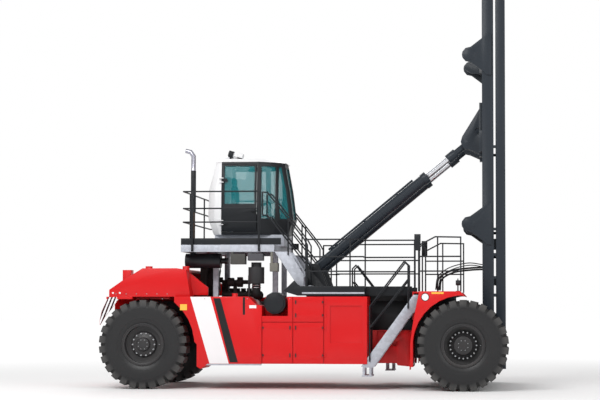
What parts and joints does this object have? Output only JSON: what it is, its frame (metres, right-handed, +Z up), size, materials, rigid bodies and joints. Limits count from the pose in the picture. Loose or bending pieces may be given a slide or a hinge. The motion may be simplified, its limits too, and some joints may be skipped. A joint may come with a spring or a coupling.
{
  "type": "container handler",
  "caption": "Four-wheeled lift truck for freight containers: two-stage mast, top spreader with telescopic arms, raised operator cab, side steps and decks.",
  "frame": {"origin": "on the ground under the middle of the whole machine at rest", "axes": "+X forward to the mast, +Y to the truck's left, +Z up"},
  "size_m": [11.48, 6.053, 10.75],
  "materials": {
    "red_paint": "gloss",
    "mast_paint": "satin",
    "black_paint": "satin",
    "white_paint": "gloss",
    "galvanised": "matt zinc",
    "grey_paint": "satin",
    "chrome": "polished",
    "steel": "machined",
    "cast_grey": "as cast",
    "tyre": "moulded",
    "rubber": "matt",
    "seat_fabric": "woven",
    "console_plastic": "textured",
    "cab_glass": "tinted"
  },
  "bodies": {
    "chassis": {"chassis_frame": "black_paint", "drive_axle": "black_paint", "steer_axle": "black_paint", "drivetrain": "cast_grey", "engine": "cast_grey", "counterweight": "red_paint", "rear_hood": "red_paint", "front_fenders": "red_paint", "side_tank_right": "red_paint", "side_tank_left": "red_paint", "side_cabinet_right": "red_paint", "side_cabinet_left": "red_paint", "main_deck": "black_paint", "tilt_anchors": "black_paint", "cab_platform": "galvanised", "cab_stairs": "galvanised", "ladders": "galvanised", "deck_rails": "black_paint", "platform_rails": "black_paint", "ladder_rails": "black_paint", "exhaust_stack": "chrome", "engine_accessories": "grey_paint", "cab_shell": "black_paint", "cab_roof": "white_paint", "cab_glass": "cab_glass", "operator_seat": "seat_fabric", "steering_console": "console_plastic", "roof_lights": "white_paint"},
    "outer_mast": {"mast_outer": "mast_paint", "lift_barrels": "mast_paint"},
    "inner_mast": {"mast_inner": "mast_paint", "lift_rods": "chrome", "free_lift_barrels": "mast_paint"},
    "sheave_head": {"chain_head": "steel"},
    "lift_carriage": {"carriage": "mast_paint"},
    "spreader": {"spreader_frame": "red_paint"},
    "arm_right": {"spreader_arm_right": "red_paint"},
    "arm_left": {"spreader_arm_left": "red_paint"},
    "tilt_barrel_r": {"tilt_barrel_right": "mast_paint"},
    "tilt_barrel_l": {"tilt_barrel_left": "mast_paint"},
    "tilt_rod_r": {"tilt_rod_right": "chrome"},
    "tilt_rod_l": {"tilt_rod_left": "chrome"},
    "drive_right": {"drive_tyres_right": "tyre", "drive_wheel_right": "black_paint"},
    "drive_left": {"drive_tyres_left": "tyre", "drive_wheel_left": "black_paint"},
    "knuckle_r": {"knuckle_right": "black_paint"},
    "knuckle_l": {"knuckle_left": "black_paint"},
    "steer_right": {"steer_tyre_right": "tyre", "steer_wheel_right": "black_paint"},
    "steer_left": {"steer_tyre_left": "tyre", "steer_wheel_left": "black_paint"},
    "door_of_cab": {"cab_door": "black_paint", "cab_door_glass": "cab_glass"},
    "locker_door_rear": {"door_rear": "red_paint"},
    "locker_door_front": {"door_front": "red_paint"},
    "locker_door_upper": {"door_upper": "red_paint"}
  },
  "joints": [
    {"name": "mast_tilt", "type": "hinge", "parent": "chassis", "child": "outer_mast", "pos_m": [2.52, 0, 0.76], "axis": [0, 1, 0], "range_deg": [-8, 4]},
    {"name": "mast_lift", "type": "slide", "parent": "outer_mast", "child": "inner_mast", "axis": [0, 0, 1], "range_m": [0, 4.7]},
    {"name": "carriage_lift", "type": "slide", "parent": "inner_mast", "child": "lift_carriage", "axis": [0, 0, 1], "range_m": [-6.7, 0]},
    {"name": "free_lift", "type": "slide", "parent": "inner_mast", "child": "sheave_head", "axis": [0, 0, 1], "range_m": [-3.35, 0]},
    {"name": "side_shift", "type": "slide", "parent": "lift_carriage", "child": "spreader", "axis": [0, 1, 0], "range_m": [-0.25, 0.25]},
    {"name": "arm_right_extend", "type": "slide", "parent": "spreader", "child": "arm_right", "axis": [0, -1, 0], "range_m": [0, 3.05]},
    {"name": "arm_left_extend", "type": "slide", "parent": "spreader", "child": "arm_left", "axis": [0, 1, 0], "range_m": [0, 3.05]},
    {"name": "tilt_barrel_right_pin", "type": "hinge", "parent": "chassis", "child": "tilt_barrel_r", "pos_m": [-1.229, -0.56, 2.543], "axis": [0, 1, 0], "range_deg": [-4.82, 2.43]},
    {"name": "tilt_rod_right_stroke", "type": "slide", "parent": "tilt_barrel_r", "child": "tilt_rod_r", "axis": [0.7723, 0, 0.6353], "range_m": [-0.5342, 0.2696]},
    {"name": "tilt_barrel_left_pin", "type": "hinge", "parent": "chassis", "child": "tilt_barrel_l", "pos_m": [-1.229, 0.56, 2.543], "axis": [0, 1, 0], "range_deg": [-4.82, 2.43]},
    {"name": "tilt_rod_left_stroke", "type": "slide", "parent": "tilt_barrel_l", "child": "tilt_rod_l", "axis": [0.7723, 0, 0.6353], "range_m": [-0.5342, 0.2696]},
    {"name": "drive_right_spin", "type": "hinge", "parent": "chassis", "child": "drive_right", "pos_m": [2, -1.545, 0.94], "axis": [0, 1, 0], "continuous": true},
    {"name": "drive_left_spin", "type": "hinge", "parent": "chassis", "child": "drive_left", "pos_m": [2, 1.545, 0.94], "axis": [0, 1, 0], "continuous": true},
    {"name": "steer_right_kingpin", "type": "hinge", "parent": "chassis", "child": "knuckle_r", "pos_m": [-4.77, -1.05, 0.94], "axis": [0, 0, 1], "range_deg": [-45, 45]},
    {"name": "steer_left_kingpin", "type": "hinge", "parent": "chassis", "child": "knuckle_l", "pos_m": [-4.77, 1.05, 0.94], "axis": [0, 0, 1], "range_deg": [-45, 45]},
    {"name": "steer_right_spin", "type": "hinge", "parent": "knuckle_r", "child": "steer_right", "pos_m": [-4.77, -1.41, 0.94], "axis": [0, 1, 0], "continuous": true},
    {"name": "steer_left_spin", "type": "hinge", "parent": "knuckle_l", "child": "steer_left", "pos_m": [-4.77, 1.41, 0.94], "axis": [0, 1, 0], "continuous": true},
    {"name": "cab_door_hinge", "type": "hinge", "parent": "chassis", "child": "door_of_cab", "pos_m": [-3.21, -0.822, 4], "axis": [0, 0, -1], "range_deg": [0, 50]},
    {"name": "door_rear_hinge", "type": "hinge", "parent": "chassis", "child": "locker_door_rear", "pos_m": [-2.18, -1.761, 1], "axis": [0, 0, -1], "range_deg": [0, 110]},
    {"name": "door_front_hinge", "type": "hinge", "parent": "chassis", "child": "locker_door_front", "pos_m": [-0.93, -1.761, 1], "axis": [0, 0, 1], "range_deg": [0, 110]},
    {"name": "door_upper_hinge", "type": "hinge", "parent": "chassis", "child": "locker_door_upper", "pos_m": [-0.93, -1.761, 1.7], "axis": [0, 0, 1], "range_deg": [0, 110]}
  ],
  "couplings": [
    {"joint": "free_lift", "follows": "carriage_lift", "ratio": 0.5},
    {"joint": "arm_left_extend", "follows": "arm_right_extend", "ratio": 1},
    {"joint": "steer_left_kingpin", "follows": "steer_right_kingpin", "ratio": 1},
    {"joint": "tilt_barrel_right_pin", "follows": "mast_tilt", "ratio": 0.596},
    {"joint": "tilt_rod_right_stroke", "follows": "mast_tilt", "m_per_rad": 3.79},
    {"joint": "tilt_barrel_left_pin", "follows": "mast_tilt", "ratio": 0.596},
    {"joint": "tilt_rod_left_stroke", "follows": "mast_tilt", "m_per_rad": 3.79}
  ]
}
